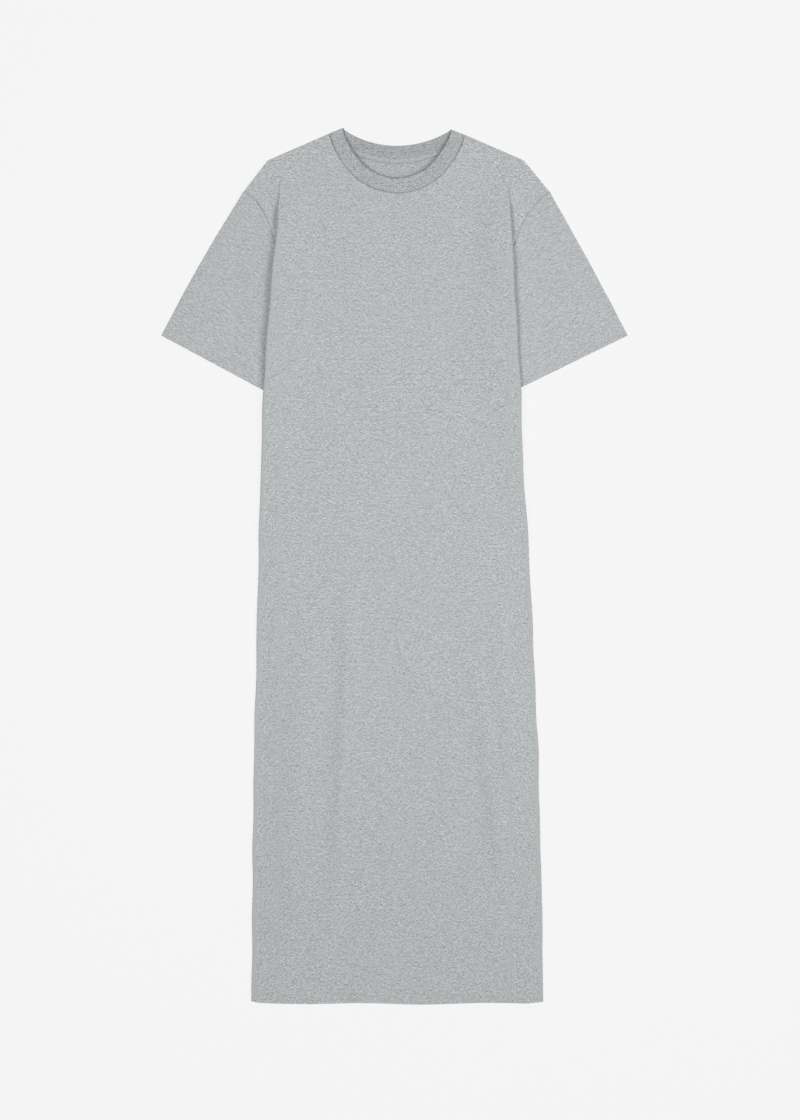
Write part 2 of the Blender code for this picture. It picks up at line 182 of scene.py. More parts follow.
body = {
    "hem": -657.5,
    "underarm": 358.0,
    "top": 640.0,
    "rowStep": 5.0,
    "yokeRows": 56,
    "seamRows": (12, 9, 7, 5, 3.6, 2.5, 1.7, 1.1, 0.6, 0.3, 0),  # distances below the neckline
    "neckSteps": 28,
    "outerColumns": 20,
    "tuckColumns": 6,
    "underColumns": 14,
    "shoulderNeck": {left: (96.8, 648.2), right: (104.2, 646.6)},
    "shoulderPoint": {left: (190.6, 607.6), right: (194.4, 607.6)},
    "sleeveTop": {left: (225.8, 560.8), right: (231.6, 561.4)},
    "sleeveTip": {left: (349.4, 345.2), right: (349.4, 345.2)},
    "rollTall": {left: 2.2, right: 2.3},  # height of the soft roll over its width, where it is tucked
    "edgeLoft": 1.6,
    "edgeLoftWidth": 40.0,
    "loft": 3.6,
    "loftWidth": 44.0,
    "rollFall": 66.0,  # how far in from the fold the soft roll sinks onto the tuck below it
    "tuckFall": 85.0,
    "armFlat": 9.0,
    "armFall": 34.0,
    "hemDepth": 16.0,
    "hemCorner": 2.2,
    "edgeWave": 0.5,
}

# Long soft folds: upper and lower end, bow to the side, width, and depth, which is below 0 for a
# ridge. The sleeves' folds also have a low ridge beside them.
troughColumns = ("startX", "startHeight", "endX", "endHeight", "bow", "width", "depth", "ridge")
troughRows = (
    (-64, 40, -92, -560, 3, 13.0, -5.2),
    (-112, 430, -114, 10, -5, 10.0, -1.0),
    (-128, -60, -158, -640, -3, 22.0, -4.2),
    (124, 400, 137, 100, 0, 10.0, -1.1),
    (112, -110, 164, -540, 9, 12.0, -4.0),
    (154, -10, 192, -480, -5, 12.0, -3.2),
    (-40, 120, -30, -60, 4, 14.0, 0.6),
    (52, -40, 40, -330, 6, 16.0, 0.6),
)
hiddenTroughRows = (  # the back's own, which lift it a little off the floor
    (-110, 380, -96, 60, 5, 12.0, 0.5),
    (88, 300, 112, -60, -4, 13.0, 0.6),
    (-60, -120, -92, -560, 4, 14.0, 0.6),
    (104, -260, 90, -600, -5, 12.0, 0.45),
    (10, 160, 22, -150, 4, 16.0, 0.4),
)

neck = {
    "x": 3.7,
    "height": 654.3,
    "seamRadius": 96.2,
    "seamFlare": 5.0,
    "seamAngle": 84.6,
    "edgeRadius": 72.6,
    "edgeFlare": 6.9,
    "edgeAngle": 89.0,
    "flareStart": 50.0,
    "tilt": 1.1,  # how much lower it ends on the right than in the middle
    "backSeamHeight": 607.8,
    "backEdgeHeight": 629.6,
    "loft": 5.4,
    "loftWidth": 80.0,
    "loftRise": 46.0,  # how far from the shoulder's edge it takes to reach that height
}
rimRadius = (body["edgeLoft"] + layerStep - cloth["seamGap"]) / 2


def smooth(value):
    t = np.clip(value, 0, 1)
    return t * t * (3 - 2 * t)


def smoothMax(a, b, softness):
    return (a + b + np.sqrt((a - b) ** 2 + softness**2)) / 2


def bump(value, width):
    return np.exp(-((value / width) ** 2))


def columnOf(names, rows, name):
    return np.array([row[names.index(name)] for row in rows], float)


def curveThrough(xs, ys, x):
    # a smooth curve through the points that never swings past them
    steps = np.diff(xs)
    slopes = np.diff(ys) / steps
    before, after = slopes[:-1], slopes[1:]
    sameWay = before * after > 0
    safeBefore, safeAfter = np.where(sameWay, before, 1), np.where(sameWay, after, 1)
    first, second = 2 * steps[1:] + steps[:-1], steps[1:] + 2 * steps[:-1]
    inner = np.where(sameWay, (first + second) / (first / safeBefore + second / safeAfter), 0)
    tangents = np.concatenate([slopes[:1], inner, slopes[-1:]])
    x = np.clip(x, xs[0], xs[-1])
    k = np.clip(np.searchsorted(xs, x, side="right") - 1, 0, len(steps) - 1)
    t = (x - xs[k]) / steps[k]
    ends = (2 * t**3 - 3 * t**2 + 1) * ys[k] + (3 * t**2 - 2 * t**3) * ys[k + 1]
    pull = (t**3 - 2 * t**2 + t) * tangents[k] + (t**3 - t**2) * tangents[k + 1]
    return ends + pull * steps[k]


def softWaves(x, y, seed, across, along, count=16):
    # low, uneven waves of about unit height, longer along the body than across it
    chance = np.random.default_rng(seed)
    total = np.zeros(np.broadcast(x, y).shape)
    for _ in range(count):
        kx = 2 * math.pi / chance.uniform(*across)
        ky = 2 * math.pi / chance.uniform(*along) * chance.choice((-1, 1))
        total += np.sin(kx * x + ky * y + chance.uniform(0, 2 * math.pi))
    return total / math.sqrt(count / 2)


def sideSection(side, height, face):
    heights = columnOf(sideColumns, sideRows, "height")
    names = ("left" if side == left else "right", "tuck", "turn", "roll", "lift")
    edge, tuck, turn, roll, lift = (
        curveThrough(heights, columnOf(sideColumns, sideRows, name), height) for name in names
    )
    edge = edge + body["edgeWave"] * softWaves(0 * height, height, 11 + side, (500, 900), (70, 260), 8)
    turn = np.maximum(np.radians(turn), 1e-3)
    radius = turnLength / turn
    rollRadius = roll / turn if face == front else radius
    crease = edge - cloth["thickness"] / 2 - rollRadius * np.sin(np.minimum(turn, math.pi / 2))
    tall = 1 + (body["rollTall"][side] - 1) * smooth(2 * turn / math.pi - 1) * (face == front)
    cut = {"crease": crease, "tuck": tuck, "turn": turn, "lift": lift}
    return {**cut, "rollRadius": rollRadius, "rollRise": rollRadius * tall, "radius": radius}


def armholeReach(side, height):
    name = "left" if side == left else "right"
    heights = columnOf(armholeColumns, armholeRows, "height")
    return curveThrough(heights, columnOf(armholeColumns, armholeRows, name), height)


def pleatStep(cut):
    turns = (cut["rollRise"] + cut["radius"]) * (1 - np.cos(cut["turn"]))
    return turns + cut["tuck"] * np.sin(cut["turn"])


def pleatPoint(cut, zone, part, reach):
    # distance from the middle, drop from the body's own layer, and length of cloth, along the tucked side
    names = ("turn", "rollRadius", "rollRise", "tuck", "radius")
    turn, roll, rise, tuck, radius = (cut[name] for name in names)
    if zone == "core":
        return cut["crease"] * part, 0 * turn, cut["crease"] * part
    if zone == "turn":
        angle = turn * part
        used = cut["crease"] + (roll + rise) / 2 * angle
        return cut["crease"] + roll * np.sin(angle), rise * (1 - np.cos(angle)), used
    x, drop, used = pleatPoint(cut, "turn", 1, reach)
    if zone == "tuck":
        return x + tuck * part * np.cos(turn), drop + tuck * part * np.sin(turn), used + tuck * part
    x, drop, used = x + tuck * np.cos(turn), drop + tuck * np.sin(turn), used + tuck
    if zone == "return":
        angle = turn * (1 - part)
        x = x + radius * (np.sin(turn) - np.sin(angle))
        return x, drop + radius * (np.cos(angle) - np.cos(turn)), used + radius * turn * part
    x = x + radius * np.sin(turn)
    return x + (reach - x) * part, pleatStep(cut), used + radius * turn + (reach - x) * part


def stackRise(side, height):
    over, under = sideSection(side, height, front), sideSection(side, height, back)
    seam = cloth["thickness"] * np.abs(np.cos(over["turn"])) + cloth["seamGap"]
    drops = sum(pleatPoint(cut, "tuck", 1, 0)[1] for cut in (over, under))
    joined = drops + seam - layerStep + over["lift"] * 2 * layerStep
    return np.where(height >= body["underarm"], pleatStep(over) + pleatStep(under), joined)


def armRise(side, x, height):
    cut = sideSection(side, height, back)
    return pleatStep(cut) * (1 - smooth((x - cut["crease"] - body["armFlat"]) / body["armFall"]))


def outline(side):
    names = ("shoulderNeck", "shoulderPoint", "sleeveTop", "sleeveTip")
    points = [np.array(body[name][side]) for name in names]
    runs = [(b - a) / np.linalg.norm(b - a) for a, b in zip(points, points[1:])]
    runs = [runs[0], *(a + b for a, b in zip(runs, runs[1:])), runs[-1]]
    normals = [np.array((-run[1], run[0])) / np.linalg.norm(run) for run in runs]
    inset = rimRadius + cloth["thickness"] / 2
    return [point - inset * normal for point, normal in zip(points, normals)], normals


def distanceToLine(x, y, a, b):
    run = b - a
    along = np.clip(((x - a[0]) * run[0] + (y - a[1]) * run[1]) / run.dot(run), 0, 1)
    return np.hypot(x - a[0] - along * run[0], y - a[1] - along * run[1])


def edgeDistance(side, x, height):
    points, _ = outline(side)
    return np.min([distanceToLine(x, height, a, b) for a, b in zip(points, points[1:])], axis=0)


def edgeLoft(side, x, height):
    return body["edgeLoft"] * smooth(1 - edgeDistance(side, x, height) / body["edgeLoftWidth"])


def flared(radius, flare, angle):
    spread = neck["seamAngle"] - neck["flareStart"]
    return radius + flare * np.clip((np.abs(angle) - neck["flareStart"]) / spread, 0, 1) ** 2


def neckCurve(kind, face, t):
    # the seam or the folded edge of the neckband, for t from -1 at the left shoulder to 1 at the right
    radius, flare, angle = (neck[kind + name] for name in ("Radius", "Flare", "Angle"))
    r, turned = flared(radius, flare, angle * t), np.radians(angle * t)
    x, height = neck["x"] + r * np.sin(turned), neck["height"] - r * np.cos(turned)
    tilt = neck["tilt"] * t**3
    if face == front:
        return x, height - tilt
    end = flared(radius, flare, angle)
    half = end * math.sin(math.radians(angle))
    low = neck["backSeamHeight" if kind == "seam" else "backEdgeHeight"]
    rise = neck["height"] - end * math.cos(math.radians(angle)) - low
    arc = (half**2 + rise**2) / (2 * rise)
    return x, low + arc - np.sqrt(np.maximum(arc**2 - (x - neck["x"]) ** 2, 0)) - tilt


def neckAway(x, height, face):
    # distance outside the neckband's seam
    if face == front:
        dx, dy = x - neck["x"], neck["height"] - height
        around = np.degrees(np.arctan2(dx, dy))
        return np.hypot(dx, dy) - flared(neck["seamRadius"], neck["seamFlare"], around)
    ts = np.linspace(-1, 1, 81)
    sx, sy = neckCurve("seam", back, ts)
    return np.interp(x, sx, sy) - height


def troughs(x, height, rows):
    dents = np.zeros(np.broadcast(x, height).shape)
    for row in rows:
        fold = {"ridge": 0.0, **dict(zip(troughColumns, row))}
        width = fold["width"]
        t = (height - fold["startHeight"]) / (fold["endHeight"] - fold["startHeight"])
        inside = smooth(t / 0.3) * smooth((1 - t) / 0.3)
        middle = fold["startX"] + t * (fold["endX"] - fold["startX"])
        away = x - middle - fold["bow"] * np.sin(math.pi * np.clip(t, 0, 1))
        beside = fold["ridge"] * bump(away - 2.1 * width, 1.3 * width)
        dents += inside * (fold["depth"] * bump(away, width) - beside)
    return dents


def frontLoft(side, x, height, inward):
    points, _ = outline(side)
    below = points[0][1] - (x - points[0][0]) * 0.44 - height
    loose = smooth((inward + 10) / body["loftWidth"]) * smooth((below - 40) / 90)
    rolls = 0.16 * softWaves(side * x, height, 5, (60, 150), (260, 900)) * smooth((inward - 6) / 30)
    return body["loft"] * loose + (rolls - troughs(side * x, height, troughRows)) * smooth(loose * 1.4)


def hemOffset(x, height):
    near = smooth(1 - (height - body["hem"]) / 140)
    corner = body["hemCorner"] * smooth((np.abs(x) - 196) / 26)
    return near * (1.3 + 0.6 * softWaves(x, 0 * x, 3, (150, 420), (900, 901), 6) + corner)


def hemSpread(height):
    # how far a turned hem pushes the front up
    return smooth(1 - (height - body["hem"] - body["hemDepth"]) / 26)


def stitchDent(distance, place):
    # the shallow line that a row of stitches presses in
    return 0.16 * (bump(distance - place, 0.9) + bump(distance - place + 5.0, 0.9))


def seamEdgeDip(distance, depth):
    # how far a sewn edge rolls down into its seam
    distance = np.maximum(distance, 0)
    rolled = np.exp(-((distance / cloth["seamRoll"]) ** 1.5))
    return depth * (2.8 * rolled - 1.8 * bump(distance, cloth["seamBulk"]))


def panelColumn(side, zone, part, height, face):
    cut = sideSection(side, height, face)
    reach = armholeReach(side, height)
    x, drop, used = pleatPoint(cut, zone, part, reach)
    away = neckAway(side * x, height, face)
    if zone == "core":
        dip = seamEdgeDip(away, cloth["neckDip"] if face == front else cloth["backNeckDip"])
    else:
        dip = seamEdgeDip(reach - x, cloth["armholeDip"] if face == front and zone == "under" else 0)
    fromHem = height - body["hem"]
    dent = stitchDent(fromHem, body["hemDepth"]) if zone in ("core", "turn") else 0
    if zone == "under":
        z = ground + armRise(side, x, height)
        if face == front:
            z = z + layerStep + edgeLoft(side, x, height) - dip + shoulderWaves(side, x, height)
        else:
            z = z + dip
    elif face == back:
        lifted = np.maximum(troughs(side * x, height, hiddenTroughRows), 0)
        z = ground + drop + (lifted + dent + dip if zone == "core" else dent * 0)
    else:
        inward = np.maximum(cut["crease"] - x, 0) if zone == "core" else 0 * x
        turned = smooth((np.degrees(cut["turn"]) - 90) / 90)
        stack = stackRise(side, height)
        firstTurn = cut["rollRise"] * (1 - np.cos(cut["turn"]))
        inner = (stack - firstTurn + 0.95) * turned
        rise = inner * smooth((cut["tuck"] + 10 + body["tuckFall"] - inward) / body["tuckFall"])
        rise = rise + (stack - inner) * smooth(1 - inward / (body["rollFall"] + 0.3 * cut["tuck"]))
        rise = rise + edgeLoft(side, x, height)
        if zone == "core":
            loft = frontLoft(side, x, height, inward)
            nearNeck = neck["loft"] * smooth(1 - away / neck["loftWidth"])
            nearNeck = nearNeck * smooth(edgeDistance(side, x, height) / neck["loftRise"])
            rise = smoothMax(smoothMax(rise, loft, 0.5), nearNeck, 0.5) - dip - dent
            needed = 3 * cloth["pressedStep"] - layerStep + 0.05
            rise = rise + (np.maximum(rise, needed) - rise) * hemSpread(height)
        z = ground + layerStep + rise - drop
    return side * x, height + hemOffset(side * x, height), z, side * used


def shoulderWaves(side, x, height):
    cut = sideSection(side, height, front)
    out = x - cut["crease"]
    fade = smooth((out - 8) / 20) * smooth((armholeReach(side, height) - x) / 6)
    return 0.22 * softWaves(x, height, 21 + side, (26, 60), (40, 120)) * fade


def gradedSteps(start, end, coarse, spots, fine, near):
    # steps from start to end, finer within near of each spot
    steps = [start]
    while steps[-1] < end - fine / 2:
        close = any(spot - near - coarse < steps[-1] < spot + near for spot in spots)
        steps.append(min(steps[-1] + (fine if close else coarse), end))
    return np.array(steps)


neckParts = np.linspace(-1, 1, 2 * body["neckSteps"] + 1)


def panelStations(face):
    # the columns of a panel, as side, zone of the tucked section, and part of that zone
    top = np.array(body["top"])
    crease = {side: float(sideSection(side, top, face)["crease"]) for side in (left, right)}
    core = []
    for x in neckCurve("seam", front, neckParts)[0]:
        side = left if x < 0 else right
        core.append((side, "core", abs(float(x)) / crease[side]))
    ends = {left: core[0][2], right: core[-1][2]}

    def outwards(side):
        def even(zone, count, first=1, start=0.0):
            return [(side, zone, start + (1 - start) * k / count) for k in range(first, count + 1)]

        stations = even("core", body["outerColumns"], start=ends[side])[:-1]
        stations += even("turn", cloth["turnSteps"], first=0)
        stations += even("tuck", body["tuckColumns"]) + even("return", cloth["turnSteps"])
        points, _ = outline(side)
        start = float(pleatPoint(sideSection(side, top, face), "under", 0, 0)[0])
        corner = (points[1][0] - start) / (float(armholeReach(side, top)) - start)
        inner = [corner * k / 7 for k in range(1, 8)]
        closer = 1 - np.linspace(1, 0, body["underColumns"] + 1)[1:] ** 1.5
        outer = corner + (1 - corner) * closer
        return stations + [(side, "under", float(part)) for part in (*inner, *outer)]

    return outwards(left)[::-1] + core + outwards(right)


def topHeight(station, face):
    side, zone, part = station
    top = np.array(body["top"])
    x = side * float(pleatPoint(sideSection(side, top, face), zone, part, armholeReach(side, top))[0])
    ts = np.linspace(-1, 1, 401)
    seamX, _ = neckCurve("seam", face, ts)
    if seamX[0] - 0.01 <= x <= seamX[-1] + 0.01:
        k = np.argmin(np.abs(neckCurve("seam", front, neckParts)[0] - x))
        return float(neckCurve("seam", face, neckParts[k])[1])
    points, _ = outline(side)
    return float(np.interp(abs(x), [point[0] for point in points], [point[1] for point in points]))


grainTurn = {"x": 172.0, "height": 571.0, "angle": 38, "fade": 150}  # angles in degrees


def grainOf(side, x, height, used, zone):
    # The shoulder outside the tuck was drawn round with the sleeve, so its grain is turned about
    # the tuck's upper end, and the turn dies away across the top of the shoulder.
    apexX, apexHeight = grainTurn["x"], grainTurn["height"]
    dx = np.abs(x) - apexX if zone == "core" else np.maximum(np.abs(x) - apexX, 0.01)
    dy = height - apexHeight
    around = np.degrees(np.arctan2(dy, dx))
    around = np.where(around < -90, around + 360, around)
    faded = 1 - smooth(np.maximum(around, 0) / grainTurn["fade"])
    turned = np.radians(grainTurn["angle"]) * faded * np.where(around > 180, 0, 1)
    if zone not in ("core", "under"):
        turned = 0 * dx
    flatX = np.abs(used) if zone != "under" else np.abs(x)
    ux = apexX + (flatX - apexX) * np.cos(turned) - dy * np.sin(turned)
    uy = apexHeight + (flatX - apexX) * np.sin(turned) + dy * np.cos(turned)
    return side * ux, uy


def addCloth(name, points, grain, ring=False):
    # points is rows x columns x 3 in millimetres, with NaN where there is no cloth
    rows, columns, _ = points.shape
    present = np.isfinite(points[..., 2])
    number = np.full((rows, columns), -1)
    number[present] = np.arange(present.sum())
    cells = number if not ring else np.concatenate([number, number[:, :1]], axis=1)
    a, b, c, d = cells[:-1, :-1], cells[:-1, 1:], cells[1:, 1:], cells[1:, :-1]
    quads = np.stack([a, b, c, d], axis=-1).reshape(-1, 4)
    quads = quads[(quads >= 0).all(axis=1)]
    mesh = bpy.data.meshes.new(name)
    mesh.from_pydata((points[present] * mm).tolist(), [], quads.tolist())
    places = grain[present] * mm
    grainMap = mesh.uv_layers.new(name="clothGrain")
    corners = np.zeros(len(mesh.loops), np.int32)
    mesh.loops.foreach_get("vertex_index", corners)
    grainMap.data.foreach_set("uv", places[corners].astype(np.float32).ravel())
    mesh.validate()
    mesh.update()
    mesh.shade_smooth()
    piece = bpy.data.objects.new(name, mesh)
    bpy.context.scene.collection.objects.link(piece)
    return piece


def applyModifiers(piece):
    ready = bpy.data.meshes.new_from_object(piece.evaluated_get(bpy.context.evaluated_depsgraph_get()))
    old = piece.data
    piece.modifiers.clear()
    piece.data = ready
    bpy.data.meshes.remove(old)
    ready.name = piece.name
    return piece


def giveThickness(piece, thickness):
    wall = piece.modifiers.new("cloth thickness", "SOLIDIFY")
    wall.thickness = thickness * mm
    wall.offset = 0
    wall.use_quality_normals = True
    bpy.context.view_layer.update()
    return applyModifiers(piece)


def makePanel(face):
    name = "frontCloth" if face == front else "backCloth"
    stations = panelStations(face)
    fold = cloth["pressedStep"] / 2
    hemLine = body["hem"] + cloth["thickness"] / 2 + fold
    stitchLine = body["hem"] + body["hemDepth"] - 2.5
    heights = gradedSteps(hemLine, body["underarm"], body["rowStep"], (stitchLine,), 0.9, 5.0)[:-1]
    foldAngles = np.radians((150, 120, 90, 60, 30))
    innerHeights = np.linspace(hemLine, body["hem"] + body["hemDepth"], 6)[::-1]
    yoke = np.linspace(0, 1, body["yokeRows"], endpoint=False)
    columns, grains = [], []
    inwards = -face  # the inner layer lies below the front's outer layer and above the back's
    for side, zone, part in stations:
        top = topHeight((side, zone, part), face)
        seamRows = top - np.array(body["seamRows"], float)
        start = seamRows[0]
        upper = np.concatenate([body["underarm"] + (start - body["underarm"]) * yoke, seamRows])
        main = np.concatenate([heights, upper])
        x, y, z, used = panelColumn(side, zone, part, main, face)
        if zone in ("return", "under"):
            belowArm = main < body["underarm"] - 1e-6
            x, y, z, used = (np.where(belowArm, np.nan, values) for values in (x, y, z, used))
        grainX, grainY = grainOf(side, x, main, used, zone)
        inner = np.concatenate([innerHeights, np.full(len(foldAngles), hemLine)])
        ix, iy, iz, iused = panelColumn(side, zone, part, inner, face)
        bend = np.concatenate([np.full(len(innerHeights), math.pi), foldAngles])
        iz = iz + inwards * fold * (1 - np.cos(bend))
        iy = iy - fold * np.sin(bend)
        if zone != "core":
            ix, iy, iz = (np.full(len(inner), np.nan) for _ in range(3))
        lengths = np.concatenate([2 * hemLine - innerHeights - 2, np.full(len(foldAngles), hemLine - 1)])
        for made, pairs in (
            (columns, ((ix, x), (iy, y), (iz, z))),
            (grains, ((iused, grainX), (lengths, grainY))),
        ):
            made.append(np.stack([np.concatenate(pair) for pair in pairs], axis=-1))
    points, grain = np.stack(columns, axis=1), np.stack(grains, axis=1)
    rim, rimGrain = rimRows(points[-1], grain[-1], stations, face)
    points, grain = np.concatenate([points, rim]), np.concatenate([grain, rimGrain])
    if face == back:  # so that both panels' faces point up and out of the cloth
        points, grain = points[:, ::-1], grain[:, ::-1]
    piece = addCloth(name, points, grain)
    return giveThickness(piece, cloth["thickness"])


def rimRows(topRow, grainRow, stations, face):
    # the rounded edge along the shoulder, down on the front and up on the back
    rows, grains = [], []
    for angle in np.radians(np.linspace(0, 90, 7)[1:]):
        out, fall = rimRadius * math.sin(angle), rimRadius * (1 - math.cos(angle))
        row = np.full(topRow.shape, np.nan)
        for k, ((x, height, z), (side, zone, part)) in enumerate(zip(topRow, stations)):
            points, normals = outline(side)
            if zone == "core" and abs(x) < points[0][0] - 1:
                continue
            nearPoint = smooth(1 - abs(abs(x) - points[1][0]) / 7)
            normal = normals[0] if abs(x) < points[1][0] else normals[2]
            normal = normal * (1 - nearPoint) + normals[1] * nearPoint
            row[k] = (x + side * out * normal[0], height + out * normal[1], z - face * fall)
        rows.append(row)
        grains.append(grainRow + np.array((0, rimRadius * angle)))
    return np.array(rows), np.array(grains)


frontCloth = makePanel(front)
backCloth = makePanel(back)
print("front and back panels made:", len(frontCloth.data.polygons), len(backCloth.data.polygons))

# sleeves

sleeve = {
    "hidden": {left: (180.8, 254.5), right: (173.3, 259.0)},  # the underarm corner of the cuff
    "bulge": {left: 3.0, right: 1.5},
    "capSteps": 58,
    "foldSteps": 8,
    "seamDistances": (0, 0.4, 0.9, 1.5, 2.3, 3.5, 5.0, 7.0),  # rows beside the armhole
    "middleRows": 44,
    "hemStart": 44.0,
    "hemDepth": 16.0,
    "loft": 0.9,
}
sleeveTroughRows = {
    left: (
        (-215, 556, -220, 484, 1, 4.0, 1.0, 0.3),
        (-262, 500, -236, 400, 4, 9.0, 0.35, 0.1),
        (-300, 440, -284, 372, 3, 9.0, 0.3, 0.0),
    ),
    right: (
        (228, 540, 236, 470, 2, 7.0, 0.3, 0.1),
        (270, 500, 252, 400, -4, 10.0, 0.35, 0.1),
        (312, 430, 290, 372, 3, 9.0, 0.25, 0.0),
    ),
}


def sleevePlan(side, u, w):
    # a point of the flat sleeve, for u from the overarm fold to the underarm and w from armhole to hem
    points, normals = outline(side)
    tip, hidden = points[3], np.array(sleeve["hidden"][side])
    capTop = topHeight((side, "under", 1.0), front)

    def cap(u):
        height = capTop * (1 - u) + body["underarm"] * u
        reach = armholeReach(side, height)
        lean = reach - armholeReach(side, height - 1)
        away = np.stack([np.ones_like(lean), -lean], axis=-1) / np.hypot(1, lean)[..., None]
        return np.stack([reach, height], axis=-1) + cloth["seamGap"] * away

    start, end = cap(np.array(0.0)), cap(np.array(1.0))
    u, w = np.broadcast_arrays(np.asarray(u, float), np.asarray(w, float))
    capPoint = cap(u)
    u, w = u[..., None], w[..., None]
    overarm = start + w * (tip - start) + sleeve["bulge"][side] * np.sin(math.pi * w) * normals[3]
    underarm = end + w * (hidden - end)
    blend = (1 - w) * capPoint + w * (tip + u * (hidden - tip)) + (1 - u) * overarm + u * underarm
    corners = (1 - u) * (1 - w) * start + (1 - u) * w * tip + u * (1 - w) * end + u * w * hidden
    return blend - corners


def sleeveRing(side, w, fromHem, bend=0.0, proud=0.0):
    # One closed section: front, underarm fold, back, overarm fold. bend goes from 0 to pi as the
    # cloth turns up inside at the hem, and proud moves the ring off the cloth for stitches.
    us = np.linspace(0, 1, sleeve["capSteps"] + 1)
    plan = sleevePlan(side, us, w)
    x, height = plan[:, 0], plan[:, 1]
    armhole = sleevePlan(side, us, 0.0)
    fromSeam = np.hypot(*(plan - armhole).T)
    inTuck = armRise(side, x, height)
    spread = smooth(1 - (fromHem - sleeve["hemDepth"]) / 24)
    fullRise = 2 * layerStep
    needed = 3 * cloth["pressedStep"]
    low = ground + inTuck - 0.52 * spread * inTuck / fullRise
    high = low + layerStep + edgeLoft(side, x, height)
    opened = smooth(1 - inTuck / fullRise) * smooth(fromSeam / 40) * (1 - spread)
    soft = 0.13 * softWaves(side * x, height, 31 + side, (45, 110), (60, 200))
    dents = troughs(side * x, height, sleeveTroughRows[side])
    lifted = smooth(1 - inTuck / fullRise)
    high = high + opened * (sleeve["loft"] * smooth(us * 6) + soft)
    high = high - np.minimum(dents, 0.5) * smooth(lifted + 0.3)
    high = high - seamEdgeDip(fromSeam, cloth["armholeDip"])
    high = high + spread * np.maximum(needed - (high - low), 0)
    dent = stitchDent(fromHem, sleeve["hemDepth"] - 2.5)
    fold = cloth["pressedStep"] / 2
    inset = fold * (1 - math.cos(bend)) - proud
    high, low = high - dent - inset, low + dent * 0.3 + inset
    _, normals = outline(side)
    wMean = float(np.mean(w))

    def turned(end, outward, fromZ, toZ):
        outward = outward / np.linalg.norm(outward)
        radius = (fromZ - toZ) / 2
        angles = np.linspace(0, math.pi, sleeve["foldSteps"] + 1)[1:-1]
        flat = plan[end] + np.abs(radius) * np.sin(angles)[:, None] * outward
        return np.column_stack([side * flat[:, 0], flat[:, 1], (fromZ + toZ) / 2 + radius * np.cos(angles)])

    top = np.column_stack([side * x, height, high])
    bottom = np.column_stack([side * x, height, low])
    underarmFold = turned(-1, plan[-1] - plan[-2], high[-1], low[-1])
    overarmFold = turned(0, (1 - wMean) * normals[2] + wMean * normals[3], low[0], high[0])
    return np.concatenate([top, underarmFold, bottom[::-1], overarmFold])


def sleeveRows(side):
    # (w for each step of the cap, distance from the hem, bend) for every ring
    us = np.linspace(0, 1, sleeve["capSteps"] + 1)
    length = np.hypot(*(sleevePlan(side, us, 1.0) - sleevePlan(side, us, 0.0)).T)
    fold = cloth["pressedStep"] / 2
    hemLine = cloth["thickness"] / 2 + fold
    seamEnd, hemStart = sleeve["seamDistances"][-1], sleeve["hemStart"]
    rows = [(d / length, 99.0, 0.0) for d in sleeve["seamDistances"]]
    for s in np.linspace(0, 1, sleeve["middleRows"] + 1)[1:]:
        along = seamEnd * (1 - s) + (length - hemStart) * s
        rows.append((along / length, 99.0 - (99.0 - hemStart) * s, 0.0))
    stitchLine = sleeve["hemDepth"] - 2.5
    near = gradedSteps(-hemStart, -hemLine, 4.0, (-stitchLine,), 0.9, 5.0)[1:]
    rows += [(1 + d / length, -d, 0.0) for d in near]
    for angle in np.radians((30, 60, 90, 120, 150, 180)):
        d = hemLine - fold * math.sin(angle)
        rows.append((1 - d / length, d, angle))
    rows += [(1 - d / length, d, math.pi) for d in np.linspace(hemLine, sleeve["hemDepth"], 6)[1:]]
    return rows


def makeSleeve(side):
    name = "sleeveLeftCloth" if side == left else "sleeveRightCloth"
    points = np.array([sleeveRing(side, w, d, bend) for w, d, bend in sleeveRows(side)])
    tip, hidden = outline(side)[0][3], np.array(sleeve["hidden"][side])
    along = (hidden - tip) / np.linalg.norm(hidden - tip)
    across = np.array((-along[1], along[0]))
    flat = np.stack([side * points[..., 0], points[..., 1]], axis=-1) - tip
    grain = np.stack([side * flat @ along + 600 * side, flat @ across], axis=-1)
    if side == right:
        points, grain = points[::-1], grain[::-1]
    return giveThickness(addCloth(name, points, grain, ring=True), cloth["thickness"])


sleeveLeftCloth = makeSleeve(left)
sleeveRightCloth = makeSleeve(right)
print("sleeves made:", len(sleeveLeftCloth.data.polygons), len(sleeveRightCloth.data.polygons))


# shader and geometry nodes

def newTree(name, inputs):
    # a Geometry Nodes tree with a geometry input and output, and the named inputs between them
    tree = bpy.data.node_groups.new(name, "GeometryNodeTree")
    tree.is_modifier = True
    for label, kind in (("Geometry", "Geometry"), *inputs):
        tree.interface.new_socket(label, in_out="INPUT", socket_type="NodeSocket" + kind)
    tree.interface.new_socket("Geometry", in_out="OUTPUT", socket_type="NodeSocketGeometry")
    source = tree.nodes.new("NodeGroupInput")
    return tree, [Wire(tree, source.outputs[k]) for k in range(len(inputs) + 1)]


def endTree(tree, geometry, material):
    whole = Wire(tree).node("GeometryNodeRealizeInstances", {}, {"Geometry": geometry})
    values = {"Geometry": whole, "Material": material}
    done = whole.node("GeometryNodeSetMaterial", {}, values)
    tree.links.new(done.socket, tree.nodes.new("NodeGroupOutput").inputs[0])
    return tree


